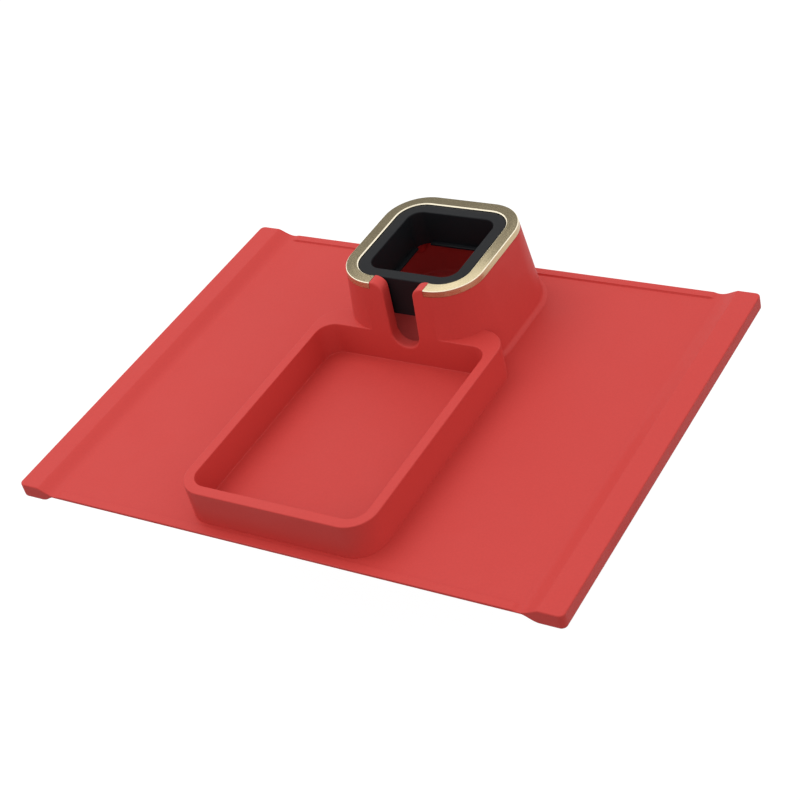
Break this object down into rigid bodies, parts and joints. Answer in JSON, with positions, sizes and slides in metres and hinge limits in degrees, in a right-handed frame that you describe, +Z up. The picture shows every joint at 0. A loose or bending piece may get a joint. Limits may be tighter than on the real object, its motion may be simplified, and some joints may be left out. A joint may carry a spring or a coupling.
{
  "type": "sofa arm cup holder tray",
  "caption": "Flexible silicone sofa-arm mat with weighted hems, a shallow tray, a square cup tower with a handle slot, a metallic rim trim and a removable square cup sleeve.",
  "frame": {"origin": "centre of the bounding box on the plane that the two hems stand on", "axes": "+X to the right along the front edge, +Y from the tray's front edge towards the cup tower, +Z up out of the tray and the cup well"},
  "size_m": [0.5152, 0.3884, 0.0878],
  "materials": {
    "silicone_red": "satin moulded silicone with a very fine grain",
    "trim_gold": "brushed and anodised pale gold, with bright cut edges",
    "sleeve_black": "satin black moulding",
    "bar_steel": "plain steel bar, sealed inside the hem"
  },
  "bodies": {
    "centre": {"mat_centre": "silicone_red", "cup_rim_trim": "trim_gold"},
    "left_flap": {"left_wing": "silicone_red", "left_hem_cover": "silicone_red", "left_weight_1": "bar_steel", "left_weight_2": "bar_steel", "left_weight_3": "bar_steel"},
    "right_flap": {"right_wing": "silicone_red", "right_hem_cover": "silicone_red", "right_weight_1": "bar_steel", "right_weight_2": "bar_steel", "right_weight_3": "bar_steel"},
    "sleeve": {"cup_insert": "sleeve_black"}
  },
  "joints": [
    {"name": "left_fold", "type": "hinge", "parent": "centre", "child": "left_flap", "pos_m": [-0.1, 0, 0.0067], "axis": [0, -1, 0], "range_deg": [-5, 90]},
    {"name": "right_fold", "type": "hinge", "parent": "centre", "child": "right_flap", "pos_m": [0.1, 0, 0.0067], "axis": [0, 1, 0], "range_deg": [-5, 90]},
    {"name": "sleeve_lift", "type": "slide", "parent": "centre", "child": "sleeve", "axis": [0, 0, 1], "range_m": [0, 0.06]}
  ]
}
